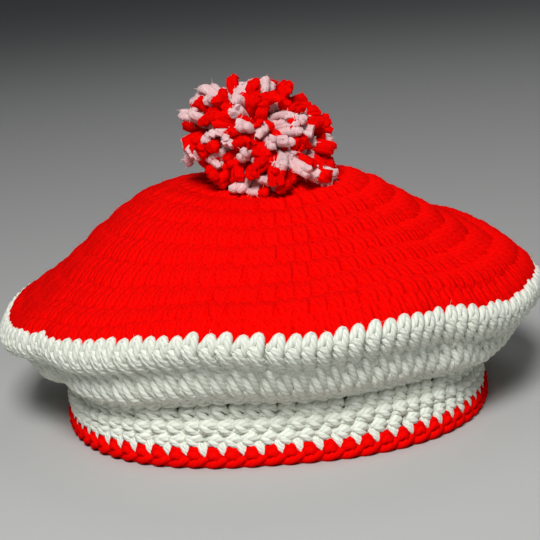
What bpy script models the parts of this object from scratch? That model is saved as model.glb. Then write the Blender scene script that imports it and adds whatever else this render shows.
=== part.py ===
"""A crocheted beret: red crown, rolled white brim, white head band, red edging and a yarn pompom.

The hat stands on its edging. The origin is on the ground in the middle of the head opening, +Z is up,
-Y is the front and +X is the wearer's left, seen on the right from the front. Scene units are metres,
and the design sizes below are in millimetres.
"""
import math
import random

import bmesh
import bpy
import numpy as np
from mathutils import Matrix, Vector

MM = 0.001

# Driving sizes of the knitted wall
WALL = 4.6                  # thickness of the crocheted fabric
PIECE_GAP = 0.5             # gap between two neighbouring pieces, along the outside
ROUND_SWELL = 1.7           # how far the middle of a round stands above the groove beside it
SWELL_LIFT = 0.5            # how much of that stands outside the mean surface
AROUND = 64                 # facets around the hat
STEPS = 12                  # points of the smooth outline between two stations

# The two outlines seen from above: the brim's is nearly round, the head band's is a squarish oval
RIM_DEPTH = 1.035           # front-to-back size for each unit of width
BAND_DEPTH = 1.09
RIM_SQUARENESS = 1.85       # 2 is an ellipse, more is squarer
BAND_SQUARENESS = 2.45

# The rounds of crochet in each piece
CROWN_ROUNDS = 11
BRIM_ROUNDS = 2
BAND_ROUNDS = 4

# The slack of the brim: shallow waves all round
RIPPLE_COUNT = 8
RIPPLE_HEIGHT = 1.3
RIPPLE_PEAK = math.radians(-105)

# The outer surface from the crown's centre down to the ground. Reaches and heights are millimetres,
# rise is how much higher the station lies at the front and the back than at the sides, band is the
# share of the head band's outline in the station's own, and slack is its share of ripples and dents.
STATION_COLUMNS = ("name", "right_reach", "left_reach", "right_height", "left_height",
                   "rise", "band", "slack")
STATIONS = (
    ("centre",       0.0,   0.0,  91.5,  91.5,  0.0, 0.0, 0.0),
    ("top",         24.5,  23.5,  98.5,  97.0, -2.0, 0.0, 0.0),
    ("shoulder",    47.0,  48.5,  93.0,  95.0, -1.5, 0.0, 0.0),
    ("slope",       70.5,  71.5,  78.5,  80.5,  2.5, 0.0, 0.1),
    ("low_slope",   91.5,  94.0,  66.5,  61.5,  7.5, 0.0, 0.4),
    ("edge",       109.0, 109.5,  59.5,  51.0, 11.0, 0.0, 0.8),
    ("rim_line",   115.0, 114.5,  50.0,  47.0, 12.5, 0.0, 1.0),
    ("fold",       117.5, 117.8,  43.5,  39.0, 12.5, 0.0, 1.0),
    ("groove",     111.5, 110.0,  33.5,  33.0, 11.0, 0.1, 1.0),
    ("second",     102.0, 101.5,  26.5,  25.5,  8.0, 0.5, 0.9),
    ("crease",      93.0,  92.5,  23.0,  21.5,  6.0, 0.9, 0.8),
    ("first_sc",    89.5,  89.5,  19.8,  19.5,  3.2, 1.0, 0.4),
    ("second_sc",   90.0,  90.5,  16.5,  16.2,  1.6, 1.0, 0.2),
    ("third_sc",    90.0,  90.5,  12.6,  12.2,  0.5, 1.0, 0.0),
    ("edging_top",  90.5,  90.0,   8.2,   8.2,  0.0, 1.0, 0.0),
    ("edging_low",  91.5,  91.0,   4.4,   4.4,  0.0, 1.0, 0.0),
    ("ground",      90.5,  90.0,   0.6,   0.6,  0.0, 1.0, 0.0),
)

# Places where the slack brim is pushed in, by azimuth and spread in degrees and depth in millimetres
DENT_COLUMNS = ("name", "azimuth", "spread", "depth")
DENTS = (
    ("left_pleat", -147.0, 5.0, 3.4),
    ("front_tuck",  -55.0, 4.0, 1.6),
    ("back_pleat",   62.0, 6.0, 2.4),
    ("back_tuck",   128.0, 5.0, 1.8),
)

# The flat that the edging stands on
FOOT_OUTSIDE = 1.6          # from the last station's reach in to the flat
FOOT_WIDTH = 2.4

# The pompom: a squashed ball of cut yarn, sewn to the crown's centre
POMPOM_HALF_WIDTH = 34.5
POMPOM_HALF_DEPTH = 33.5
POMPOM_BOTTOM = 90.0
POMPOM_TOP = 141.0
POMPOM_CORE = 0.78          # size of the dense middle, as a share of the whole
POMPOM_CLEARANCE = 0.9      # least height of the yarn over the crown's mean surface
LOCK_COUNT = 62
LOCK_SIDES = 5
LOCK_START = 0.35           # where a lock leaves the middle, as a share of its reach
LOCK_SECTIONS = ((0.0, 2.8), (0.72, 5.2), (1.0, 3.7))   # share of its length, radius
LOWEST_LOCK = -0.80         # sine of the lowest direction that a lock points in
SHORTEST_LOCK = 0.93        # reach of the shortest lock, as a share of the longest

COLOURS = {
    "red_yarn": (0.80, 0.008, 0.006),
    "white_yarn": (0.74, 0.76, 0.70),
    "pompom_yarn": (0.78, 0.20, 0.19),
}
YARN_ROUGHNESS = 0.9


def column(name):
    """One column of the station table as an array."""
    index = STATION_COLUMNS.index(name)
    return np.array([row[index] for row in STATIONS])


def station(name):
    """The row number of a station."""
    return [row[0] for row in STATIONS].index(name)


def slack_moves(azimuth):
    """How far the slack fabric goes up and in at each azimuth."""
    up = RIPPLE_HEIGHT * np.cos(RIPPLE_COUNT * (azimuth - RIPPLE_PEAK))
    inward = np.zeros_like(azimuth)
    for row in DENTS:
        dent = dict(zip(DENT_COLUMNS, row))
        away = np.degrees(azimuth) - dent["azimuth"]
        away = (away + 180.0) % 360.0 - 180.0
        inward += dent["depth"] * np.exp(-(away / dent["spread"]) ** 2)
    return up, inward


def station_rings(azimuth):
    """Reach and height of each station at each azimuth, one row for a station."""
    right, left = column("right_reach"), column("left_reach")
    band, slack = column("band")[:, None], column("slack")[:, None]
    depth_ratio = RIM_DEPTH + (BAND_DEPTH - RIM_DEPTH) * band
    power = RIM_SQUARENESS + (BAND_SQUARENESS - RIM_SQUARENESS) * band
    mean = np.maximum((right + left) / 2, 1e-6)[:, None]
    half_width = mean + ((right - left) / 2)[:, None] * np.cos(azimuth)
    across = np.abs(np.cos(azimuth) / half_width) ** power
    along = np.abs(np.sin(azimuth) / (mean * depth_ratio)) ** power
    up, inward = slack_moves(azimuth)
    reach = (across + along) ** (-1 / power) - slack * inward
    high, low = column("right_height"), column("left_height")
    height = ((high + low) / 2)[:, None] + ((high - low) / 2)[:, None] * np.cos(azimuth)
    height = height + column("rise")[:, None] * np.sin(azimuth) ** 2 + slack * up
    reach[0] = 0.0
    return reach, height


def smooth(rows):
    """A smooth curve through the rows, with STEPS points between each two."""
    before = 2 * rows[:1] - rows[1:2]
    after = 2 * rows[-1:] - rows[-2:-1]
    padded = np.concatenate([before, rows, after])
    points = []
    for i in range(len(rows) - 1):
        a, b, c, d = padded[i:i + 4]
        for t in np.linspace(0.0, 1.0, STEPS, endpoint=False):
            points.append(0.5 * (2 * b + (c - a) * t + (2 * a - 5 * b + 4 * c - d) * t ** 2
                                 + (3 * b - a - 3 * c + d) * t ** 3))
    points.append(rows[-1])
    return np.array(points)


class HatSurface:
    """The hat's outer surface, addressed by length along its outline and by azimuth."""

    def __init__(self):
        self.azimuth = np.linspace(0.0, 2 * math.pi, AROUND, endpoint=False)
        reach, height = station_rings(self.azimuth)
        self.reach, self.height = smooth(reach), smooth(height)
        step = np.hypot(np.diff(self.reach, axis=0), np.diff(self.height, axis=0)).mean(axis=1)
        self.length = np.concatenate([[0.0], np.cumsum(step)])
        slope_reach = np.gradient(self.reach, axis=0)
        slope_height = np.gradient(self.height, axis=0)
        size = np.hypot(slope_reach, slope_height)
        self.out_reach, self.out_height = -slope_height / size, slope_reach / size
        self.out_reach[0], self.out_height[0] = 0.0, 1.0

    def length_at(self, name):
        """The length along the outline at which a station lies."""
        return self.length[station(name) * STEPS]

    def pick(self, table, length):
        """One ring of a table of rings, read at a length along the outline."""
        return np.array([np.interp(length, self.length, table[:, j]) for j in range(AROUND)])

    def ring(self, length, proud=0.0):
        """Points around the hat at a length along its outline, raised by proud millimetres."""
        reach = self.pick(self.reach, length) + proud * self.pick(self.out_reach, length)
        height = self.pick(self.height, length) + proud * self.pick(self.out_height, length)
        return self.points(reach, height)

    def points(self, reach, height):
        """Ring points in metres from reaches and heights in millimetres."""
        x = reach * np.cos(self.azimuth)
        y = reach * np.sin(self.azimuth)
        return np.stack([x, y, height + 0 * x], axis=1) * MM


def swell(share):
    """How far the fabric stands out at a share of the way through a round."""
    return ROUND_SWELL * math.sin(math.pi * share) - (ROUND_SWELL - SWELL_LIFT)


def outside_rings(surface, start, end, rounds, rows_each):
    """Rings over the outside of a piece, swelling in each round of crochet."""
    rings = []
    rows = rounds * rows_each
    for i in range(rows + 1):
        share = (i / rows_each) % 1.0
        rings.append(surface.ring(start + (end - start) * i / rows, swell(share)))
    return rings


def inside_rings(surface, start, end, rows):
    """Rings over the inside of a piece, from its end back to its start."""
    return [surface.ring(end + (start - end) * i / rows, -WALL) for i in range(rows + 1)]


def make_material(name):
    """A plain matt yarn material."""
    material = bpy.data.materials.new(name)
    material.use_nodes = True
    shader = material.node_tree.nodes["Principled BSDF"]
    shader.inputs["Base Color"].default_value = (*COLOURS[name], 1.0)
    shader.inputs["Roughness"].default_value = YARN_ROUGHNESS
    shader.inputs["Metallic"].default_value = 0.0
    return material


def make_object(name, mesh_builder, material, parent):
    """An object of one closed body from a bmesh, smooth shaded."""
    bmesh.ops.recalc_face_normals(mesh_builder, faces=mesh_builder.faces)
    mesh = bpy.data.meshes.new(name)
    mesh_builder.to_mesh(mesh)
    mesh_builder.free()
    mesh.shade_smooth()
    mesh.materials.append(material)
    piece = bpy.data.objects.new(name, mesh)
    bpy.context.scene.collection.objects.link(piece)
    piece.parent = parent
    return piece


def join_rings(builder, first, second):
    """Quads between two rings of vertices."""
    count = len(first)
    for j in range(count):
        k = (j + 1) % count
        builder.faces.new((first[j], first[k], second[k], second[j]))


def join_pole(builder, pole, ring):
    """Triangles between a pole and the ring round it."""
    count = len(ring)
    for j in range(count):
        builder.faces.new((pole, ring[(j + 1) % count], ring[j]))


def ring_piece(rings):
    """A closed hoop of fabric from rings that go down its outside and back up its inside."""
    builder = bmesh.new()
    loops = [[builder.verts.new(point) for point in ring] for ring in rings]
    for first, second in zip(loops, loops[1:] + loops[:1]):
        join_rings(builder, first, second)
    return builder


def dome_piece(outside, inside):
    """A closed cap of fabric, whose outside starts and inside ends at the axis."""
    builder = bmesh.new()
    top = builder.verts.new(outside[0].mean(axis=0))
    under = builder.verts.new(inside[-1].mean(axis=0))
    loops = [[builder.verts.new(point) for point in ring] for ring in outside[1:] + inside[:-1]]
    for first, second in zip(loops, loops[1:]):
        join_rings(builder, first, second)
    join_pole(builder, top, loops[0])
    join_pole(builder, under, loops[-1])
    return builder


def crown(surface):
    """The red top, worked outwards from its centre."""
    end = surface.length_at("rim_line") - PIECE_GAP / 2
    outside = outside_rings(surface, 0.0, end, CROWN_ROUNDS, 2)
    return dome_piece(outside, inside_rings(surface, 0.0, end, 9))


def brim(surface):
    """The rolled white edge and the underside that goes back in to the head."""
    start = surface.length_at("rim_line") + PIECE_GAP / 2
    end = surface.length_at("crease") - PIECE_GAP / 2
    outside = outside_rings(surface, start, end, BRIM_ROUNDS, 4)
    return ring_piece(outside + inside_rings(surface, start, end, 5))


def band(surface):
    """The white head band."""
    start = surface.length_at("crease") + PIECE_GAP / 2
    end = surface.length_at("edging_top") - PIECE_GAP / 2
    outside = outside_rings(surface, start, end, BAND_ROUNDS, 2)
    return ring_piece(outside + inside_rings(surface, start, end, 3))


def foot_rings(surface):
    """The edging's rounded foot: outer edge of the flat, inner edge, and the bend above it."""
    reach = surface.reach[-1]
    flat_out = surface.points(reach - FOOT_OUTSIDE, 0.0)
    flat_in = surface.points(reach - FOOT_OUTSIDE - FOOT_WIDTH, 0.0)
    return [flat_out, flat_in]


def edging(surface):
    """The red last round, which ends in a flat foot on the ground."""
    start = surface.length_at("edging_top") + PIECE_GAP / 2
    end = surface.length_at("ground")
    outside = outside_rings(surface, start, end, 1, 4)
    return ring_piece(outside + foot_rings(surface) + inside_rings(surface, start, end, 2))


def lift(surface, point):
    """The point itself, or the one straight above it that clears the crown."""
    azimuth = math.atan2(point.y, point.x) % (2 * math.pi)
    j = round(azimuth / (2 * math.pi) * AROUND) % AROUND
    last = station("edge") * STEPS
    reach = math.hypot(point.x, point.y) / MM
    crown_height = np.interp(reach, surface.reach[:last, j], surface.height[:last, j])
    return Vector((point.x, point.y, max(point.z, (crown_height + POMPOM_CLEARANCE) * MM)))


def lock_directions():
    """Directions spread evenly over the pompom, down to its lowest locks."""
    golden = math.pi * (3.0 - math.sqrt(5.0))
    directions = []
    for i in range(LOCK_COUNT):
        sine = 1.0 - (i + 0.5) / LOCK_COUNT * (1.0 - LOWEST_LOCK)
        flat = math.sqrt(1.0 - sine * sine)
        directions.append(Vector((flat * math.cos(golden * i), flat * math.sin(golden * i), sine)))
    return directions


def lock(surface, root, tip, turn):
    """One lock of cut yarn: narrow at its root, thick in its belly and blunt at its tip."""
    builder = bmesh.new()
    axis = tip - root
    frame = axis.to_track_quat("Z", "Y").to_matrix() @ Matrix.Rotation(turn, 3, "Z")
    loops = []
    for share, radius in LOCK_SECTIONS:
        loop = []
        for j in range(LOCK_SIDES):
            angle = 2 * math.pi * j / LOCK_SIDES
            spoke = Vector((math.cos(angle), math.sin(angle), 0.0)) * radius * MM
            loop.append(builder.verts.new(lift(surface, root + axis * share + frame @ spoke)))
        loops.append(loop)
    for first, second in zip(loops, loops[1:]):
        join_rings(builder, first, second)
    builder.faces.new(loops[0][::-1])
    builder.faces.new(loops[-1])
    return builder


def pompom_core(surface, centre, half):
    """The dense middle of the pompom, a ball whose foot is pressed on the crown."""
    builder = bmesh.new()
    bmesh.ops.create_icosphere(builder, subdivisions=2, radius=1.0)
    for vert in builder.verts:
        out = Vector([vert.co[i] * half[i] * POMPOM_CORE for i in range(3)])
        if out.z < 0.0:
            out.z /= POMPOM_CORE
        vert.co = lift(surface, centre + out)
    return builder


def pompom(surface, material, parent):
    """The ball of cut yarn: locks fused to a dense core by a Boolean union."""
    half_height = (POMPOM_TOP - POMPOM_BOTTOM) / 2
    centre = Vector((0.0, 0.0, POMPOM_BOTTOM + half_height)) * MM
    half = Vector((POMPOM_HALF_WIDTH, POMPOM_HALF_DEPTH, half_height)) * MM
    ball = make_object("pompom", pompom_core(surface, centre, half), material, parent)
    dice = random.Random(11)
    for number, direction in enumerate(lock_directions()):
        out = Vector([direction[i] * half[i] for i in range(3)])
        tip = centre + out * dice.uniform(SHORTEST_LOCK, 1.0)
        root = centre.lerp(tip, LOCK_START)
        builder = lock(surface, root, tip, dice.uniform(0.0, math.pi))
        fuse(ball, make_object(f"lock_{number}", builder, material, parent))


def fuse(target, other):
    """Join another closed body to the target by a Boolean union, and remove the other."""
    union = target.modifiers.new("union", "BOOLEAN")
    union.operation = "UNION"
    union.solver = "EXACT"
    union.object = other
    evaluated = target.evaluated_get(bpy.context.evaluated_depsgraph_get())
    fused = bpy.data.meshes.new_from_object(evaluated)
    target.modifiers.clear()
    old = target.data
    target.data = fused
    bpy.data.meshes.remove(old)
    spent = other.data
    bpy.data.objects.remove(other)
    bpy.data.meshes.remove(spent)
    target.data.name = target.name


def main():
    """Clear the scene and make the hat."""
    for old in list(bpy.data.objects):
        bpy.data.objects.remove(old, do_unlink=True)
    hat = bpy.data.objects.new("hat", None)
    bpy.context.scene.collection.objects.link(hat)
    surface = HatSurface()
    red = make_material("red_yarn")
    white = make_material("white_yarn")
    mixed = make_material("pompom_yarn")
    make_object("crown", crown(surface), red, hat)
    make_object("brim", brim(surface), white, hat)
    make_object("band", band(surface), white, hat)
    make_object("edging", edging(surface), red, hat)
    pompom(surface, mixed, hat)


main()
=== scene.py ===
# %% [markdown]
# # A crocheted beret with a pompom
# This lesson dresses a plain solid model of a crocheted hat in yarn. The solid model gives the size and
# the place of every piece, and is loaded first, so that nothing here has to be fitted by eye. What a
# solid can't show is the crochet itself, and that is what the cells below make: loops of yarn that go
# round the hat, stitch by stitch, and a ball of cut yarn ends on the top.

import math

import bpy
import numpy as np
from mathutils import Matrix, Vector


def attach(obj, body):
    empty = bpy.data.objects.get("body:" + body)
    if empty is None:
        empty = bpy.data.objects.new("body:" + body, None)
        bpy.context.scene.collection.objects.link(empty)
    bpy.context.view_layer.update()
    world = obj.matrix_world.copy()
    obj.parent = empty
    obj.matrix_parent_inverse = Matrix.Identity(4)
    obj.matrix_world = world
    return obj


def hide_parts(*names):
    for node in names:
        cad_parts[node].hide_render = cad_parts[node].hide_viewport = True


MM = 0.001
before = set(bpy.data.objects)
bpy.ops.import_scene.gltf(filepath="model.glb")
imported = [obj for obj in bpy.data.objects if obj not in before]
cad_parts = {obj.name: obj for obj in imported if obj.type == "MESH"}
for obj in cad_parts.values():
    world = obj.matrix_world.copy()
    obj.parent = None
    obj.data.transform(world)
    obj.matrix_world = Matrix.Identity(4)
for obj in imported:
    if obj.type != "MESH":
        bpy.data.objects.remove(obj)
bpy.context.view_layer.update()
print("nodes:", sorted(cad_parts))

# %% [markdown]
# # The shape that the fabric lies on
# The outside of the hat is one smooth surface. It starts at the crown's centre, runs out and down to the
# rolled edge, turns back in under it, and goes down the head band to the ground. The same short table of
# stations that shaped the solids gives it here: each row is one place on the way, with its reach to the
# right and to the left, its height on both sides, how much higher it lies at the front and the back, how
# much it follows the head band's squarish oval, and how slack it is. A smooth curve runs through the
# stations, and a few tucks push the slack brim in.

# %% The table of stations
RIM_DEPTH = 1.035
BAND_DEPTH = 1.09
RIM_SQUARENESS = 1.85
BAND_SQUARENESS = 2.45
RIPPLE_COUNT = 8
RIPPLE_HEIGHT = 1.3
RIPPLE_PEAK = math.radians(-105)
STEPS = 12
STATION_COLUMNS = ("name", "right_reach", "left_reach", "right_height", "left_height",
                   "rise", "band", "slack")
STATIONS = (
    ("centre",       0.0,   0.0,  91.5,  91.5,  0.0, 0.0, 0.0),
    ("top",         24.5,  23.5,  98.5,  97.0, -2.0, 0.0, 0.0),
    ("shoulder",    47.0,  48.5,  93.0,  95.0, -1.5, 0.0, 0.0),
    ("slope",       70.5,  71.5,  78.5,  80.5,  2.5, 0.0, 0.1),
    ("low_slope",   91.5,  94.0,  66.5,  61.5,  7.5, 0.0, 0.4),
    ("edge",       109.0, 109.5,  59.5,  51.0, 11.0, 0.0, 0.8),
    ("rim_line",   115.0, 114.5,  50.0,  47.0, 12.5, 0.0, 1.0),
    ("fold",       117.5, 117.8,  43.5,  39.0, 12.5, 0.0, 1.0),
    ("groove",     111.5, 110.0,  33.5,  33.0, 11.0, 0.1, 1.0),
    ("second",     102.0, 101.5,  26.5,  25.5,  8.0, 0.5, 0.9),
    ("crease",      93.0,  92.5,  23.0,  21.5,  6.0, 0.9, 0.8),
    ("first_sc",    89.5,  89.5,  19.8,  19.5,  3.2, 1.0, 0.4),
    ("second_sc",   90.0,  90.5,  16.5,  16.2,  1.6, 1.0, 0.2),
    ("third_sc",    90.0,  90.5,  12.6,  12.2,  0.5, 1.0, 0.0),
    ("edging_top",  90.5,  90.0,   8.2,   8.2,  0.0, 1.0, 0.0),
    ("edging_low",  91.5,  91.0,   4.4,   4.4,  0.0, 1.0, 0.0),
    ("ground",      90.5,  90.0,   0.6,   0.6,  0.0, 1.0, 0.0),
)
DENT_COLUMNS = ("name", "azimuth", "spread", "depth")
DENTS = (
    ("left_pleat", -147.0, 5.0, 3.4),
    ("front_tuck",  -55.0, 4.0, 1.6),
    ("back_pleat",   62.0, 6.0, 2.4),
    ("back_tuck",   128.0, 5.0, 1.8),
)
print(len(STATIONS), "stations and", len(DENTS), "tucks")


# %% Rings of the surface
def column(name):
    """One column of the station table as an array."""
    index = STATION_COLUMNS.index(name)
    return np.array([row[index] for row in STATIONS])


def slack_moves(azimuth):
    """How far the slack fabric goes up and in at each azimuth, in millimetres."""
    up = RIPPLE_HEIGHT * np.cos(RIPPLE_COUNT * (azimuth - RIPPLE_PEAK))
    inward = np.zeros_like(azimuth)
    for row in DENTS:
        dent = dict(zip(DENT_COLUMNS, row))
        away = (np.degrees(azimuth) - dent["azimuth"] + 180.0) % 360.0 - 180.0
        inward += dent["depth"] * np.exp(-(away / dent["spread"]) ** 2)
    return up, inward


def station_rings(azimuth):
    """Reach and height of each station at each azimuth, one row for a station."""
    right, left = column("right_reach"), column("left_reach")
    band, slack = column("band")[:, None], column("slack")[:, None]
    depth_ratio = RIM_DEPTH + (BAND_DEPTH - RIM_DEPTH) * band
    power = RIM_SQUARENESS + (BAND_SQUARENESS - RIM_SQUARENESS) * band
    mean = np.maximum((right + left) / 2, 1e-6)[:, None]
    half_width = mean + ((right - left) / 2)[:, None] * np.cos(azimuth)
    across = np.abs(np.cos(azimuth) / half_width) ** power
    along = np.abs(np.sin(azimuth) / (mean * depth_ratio)) ** power
    up, inward = slack_moves(azimuth)
    reach = (across + along) ** (-1 / power) - slack * inward
    high, low = column("right_height"), column("left_height")
    height = ((high + low) / 2)[:, None] + ((high - low) / 2)[:, None] * np.cos(azimuth)
    height = height + column("rise")[:, None] * np.sin(azimuth) ** 2 + slack * up
    reach[0] = 0.0
    return reach, height


def smooth(rows):
    """A smooth curve through the rows, with STEPS points between each two."""
    padded = np.concatenate([2 * rows[:1] - rows[1:2], rows, 2 * rows[-1:] - rows[-2:-1]])
    points = []
    for i in range(len(rows) - 1):
        a, b, c, d = padded[i:i + 4]
        for t in np.linspace(0.0, 1.0, STEPS, endpoint=False):
            points.append(0.5 * (2 * b + (c - a) * t + (2 * a - 5 * b + 4 * c - d) * t ** 2
                                 + (3 * b - a - 3 * c + d) * t ** 3))
    points.append(rows[-1])
    return np.array(points)


# %% [markdown]
# # A map from flat crochet to the hat
# Crochet is easy to describe flat: so many stitches across, so far down a round, so far out of the
# fabric. To lay it on the hat, the surface becomes a guide mesh that carries two attributes: "flat",
# which says how many turns round and what share of the outline each point lies at, and "outward", the
# way out of the fabric there. At both sides the white brim climbs over the edge by a few millimetres, so
# the shares shift there, and every round near the edge follows. The guide runs a little over a full
# turn, so that a stitch that crosses the seam still finds its place. The guide isn't part of the hat and
# is removed at the end.

# %% Make the guide mesh
TURN_STEPS = 256
OVERLAP_STEPS = 16
CLIMBS = ((180.0, 24.0, 3.2), (236.0, 14.0, 2.4), (2.0, 27.0, 1.8))
CLIMB_LENGTH = 22.0
turns = np.arange(-OVERLAP_STEPS, TURN_STEPS + OVERLAP_STEPS + 1) / TURN_STEPS
azimuths = turns * 2 * math.pi
reaches, heights = (smooth(table) for table in station_rings(azimuths))
one_turn = slice(OVERLAP_STEPS, OVERLAP_STEPS + TURN_STEPS)
step_lengths = np.hypot(np.diff(reaches, axis=0), np.diff(heights, axis=0))[:, one_turn].mean(axis=1)
outline = np.concatenate([[0.0], np.cumsum(step_lengths)])
slope_reach = np.gradient(reaches, axis=0)
slope_height = np.gradient(heights, axis=0)
slope = np.hypot(slope_reach, slope_height)
out_reaches, out_heights = -slope_height / slope, slope_reach / slope
out_reaches[0], out_heights[0] = 0.0, 1.0


def outline_at(name):
    """How far down the outline a station lies, in millimetres."""
    return outline[[row[0] for row in STATIONS].index(name) * STEPS]


def climb_over_edge():
    """Each guide point's place down the outline, later at the sides, where the brim climbs."""
    places = np.repeat(outline[:, None], len(azimuths), axis=1)
    near_edge = np.exp(-((outline - outline_at("rim_line")) / CLIMB_LENGTH) ** 2)[:, None]
    for azimuth, spread, height in CLIMBS:
        away = (np.degrees(azimuths) - azimuth + 180.0) % 360.0 - 180.0
        places += near_edge * height * np.exp(-(away / spread) ** 2)
    return places


places_down = climb_over_edge()


def to_points(reach, height):
    """Points in metres from tables of reaches and heights in millimetres."""
    x, y = reach * np.cos(azimuths), reach * np.sin(azimuths)
    return np.stack([x * MM, y * MM, height * MM], axis=-1)


def grid_faces(rows, columns):
    """Corner numbers of the quads of a grid, with their outside towards +out."""
    first = (np.arange(rows - 1)[:, None] * columns + np.arange(columns - 1)[None, :]).ravel()
    return np.stack([first, first + columns, first + columns + 1, first + 1], axis=1)


def add_vectors(mesh, name, values):
    """Stores one vector for each point of a mesh."""
    attribute = mesh.attributes.new(name, "FLOAT_VECTOR", "POINT")
    attribute.data.foreach_set("vector", np.asarray(values, dtype=np.float32).ravel())


def make_guide():
    """The guide mesh with its flat and outward attributes."""
    mesh = bpy.data.meshes.new("guide")
    mesh.from_pydata(to_points(reaches, heights).reshape(-1, 3), [], grid_faces(*reaches.shape).tolist())
    share = places_down / outline[-1]
    turn = np.broadcast_to(turns[None, :], reaches.shape)
    add_vectors(mesh, "flat", np.stack([turn, share, 0 * share], axis=-1).reshape(-1, 3))
    x, y = out_reaches * np.cos(azimuths), out_reaches * np.sin(azimuths)
    add_vectors(mesh, "outward", np.stack([x, y, out_heights], axis=-1).reshape(-1, 3))
    guide_object = bpy.data.objects.new("guide", mesh)
    bpy.context.scene.collection.objects.link(guide_object)
    return guide_object


guide = make_guide()
helpers = [guide]
print("guide:", len(guide.data.polygons), "faces, outline", round(outline[-1], 1), "mm")

# %% [markdown]
# # Short words for building node trees
# The crochet and the materials are node trees. Building one by hand in a script takes a line for each
# node, each setting and each link, so these helpers shorten it to one call for each node: its kind, its
# settings, and for each input either a value or the output that feeds it.


# %% Helpers for node trees
def add_node(tree, kind, inputs=None, **settings):
    """A node with its settings, its inputs given by name or number as a value or an output."""
    node = tree.nodes.new(kind)
    for name, value in settings.items():
        setattr(node, name, value)
    for key, value in (inputs or {}).items():
        socket = node.inputs[key]
        if isinstance(value, bpy.types.NodeSocket):
            tree.links.new(value, socket)
        else:
            socket.default_value = value
    return node


def output_of(tree, kind, inputs=None, **settings):
    """The first output of a new node."""
    return add_node(tree, kind, inputs, **settings).outputs[0]


def math_node(tree, operation, *values):
    """The result of a Math node on values or outputs."""
    return output_of(tree, "ShaderNodeMath", dict(enumerate(values)), operation=operation)


def times_plus(tree, value, factor, addend):
    """A value times a factor, and then an addend."""
    return math_node(tree, "MULTIPLY_ADD", value, factor, addend)


def plus(tree, first, second):
    """The sum of two values or outputs."""
    return math_node(tree, "ADD", first, second)


def minus(tree, first, second):
    """The first value or output less the second."""
    return math_node(tree, "SUBTRACT", first, second)


def times(tree, first, second):
    """The product of two values or outputs."""
    return math_node(tree, "MULTIPLY", first, second)


def vector_math(tree, operation, *values):
    """The vector result of a Vector Math node."""
    return output_of(tree, "ShaderNodeVectorMath", dict(enumerate(values)), operation=operation)


def scaled(tree, vector, factor):
    """A vector made longer or shorter by a factor."""
    return output_of(tree, "ShaderNodeVectorMath", {0: vector, "Scale": factor}, operation="SCALE")


def random_value(tree, low, high, seed, number=None):
    """A number or a vector between two, always the same for the same seed and number."""
    is_vector = isinstance(low, tuple)
    inputs = {0: low, 1: high} if is_vector else {2: low, 3: high}
    if number is not None:
        inputs["ID"] = number
    node = add_node(tree, "FunctionNodeRandomValue", {**inputs, "Seed": seed},
                    data_type="FLOAT_VECTOR" if is_vector else "FLOAT")
    return node.outputs[0 if is_vector else 1]


def named(tree, name, data_type):
    """What the geometry keeps under a name."""
    return output_of(tree, "GeometryNodeInputNamedAttribute", {"Name": name}, data_type=data_type)


def combine(tree, x, y, z):
    """A vector from three numbers or outputs."""
    return output_of(tree, "ShaderNodeCombineXYZ", {0: x, 1: y, 2: z})


def separate(tree, vector):
    """The three outputs of a vector."""
    return add_node(tree, "ShaderNodeSeparateXYZ", {0: vector}).outputs


def new_tree(name, kind, sockets_in, sockets_out):
    """A node group with named inputs and outputs, given as rows of name, socket type and value."""
    tree = bpy.data.node_groups.new(name, kind)
    for label, socket_type, value in sockets_in:
        socket = tree.interface.new_socket(label, in_out="INPUT", socket_type=socket_type)
        if value is not None:
            socket.default_value = value
    for label, socket_type in sockets_out:
        tree.interface.new_socket(label, in_out="OUTPUT", socket_type=socket_type)
    return tree, tree.nodes.new("NodeGroupInput").outputs, tree.nodes.new("NodeGroupOutput").inputs


print("node helpers ready")

# %% [markdown]
# # One tree that crochets a round
# A round of crochet is one stitch repeated round the hat. Modelling each stitch by hand would take days,
# and copying rigid stitches would leave gaps where the hat bends. So the tree copies the yarn paths of
# one stitch along a flat round first, and then looks up each point's place on the guide mesh, which bends
# every path with the fabric. The paths lean more on one side of the hat, as the hand that made them
# pulled, and each stitch is a little different. Last, a circle swept along each path makes it yarn. The
# sweep stores where each point lies around and along the yarn, which the material needs for its twist.

# %% The crochet tree
FLOAT, INTEGER = "NodeSocketFloat", "NodeSocketInt"
GEOMETRY, OBJECT = "NodeSocketGeometry", "NodeSocketObject"
MATERIAL, VECTOR = "NodeSocketMaterial", "NodeSocketVector"
MOST_LEANING = 200 / 360
STITCH_SHIFT = 0.0137
LOWER_RATE, LOWER_START = 3.0, -0.8
ARC_HEIGHT, ARC_START = 4.0, -0.5
UNEVEN_DOWN, UNEVEN_OUT = 0.5, 2.0
FIRST_PLACE, LAST_PLACE = 0.001, 0.999
ALL_WAYS = (-1.0, -1.0, -1.0), (1.0, 1.0, 1.0)


def sample_guide(tree, guide_mesh, value_name, place):
    """Reads a vector of the guide mesh at a flat place; an empty name reads the position."""
    position = output_of(tree, "GeometryNodeInputPosition")
    value = named(tree, value_name, "FLOAT_VECTOR") if value_name else position
    flat = named(tree, "flat", "FLOAT_VECTOR")
    return output_of(tree, "GeometryNodeSampleUVSurface",
                     {"Mesh": guide_mesh, "Value": value, "UV Map": flat, "Sample UV": place},
                     data_type="FLOAT_VECTOR")


def store(tree, geometry, name, value, data_type, domain="POINT"):
    """Stores a value on the geometry under a name."""
    return output_of(tree, "GeometryNodeStoreNamedAttribute",
                     {"Geometry": geometry, "Name": name, "Value": value}, data_type=data_type,
                     domain=domain)


def realize(tree, geometry):
    """The geometry with its instances made real."""
    return output_of(tree, "GeometryNodeRealizeInstances", {"Geometry": geometry})


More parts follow.
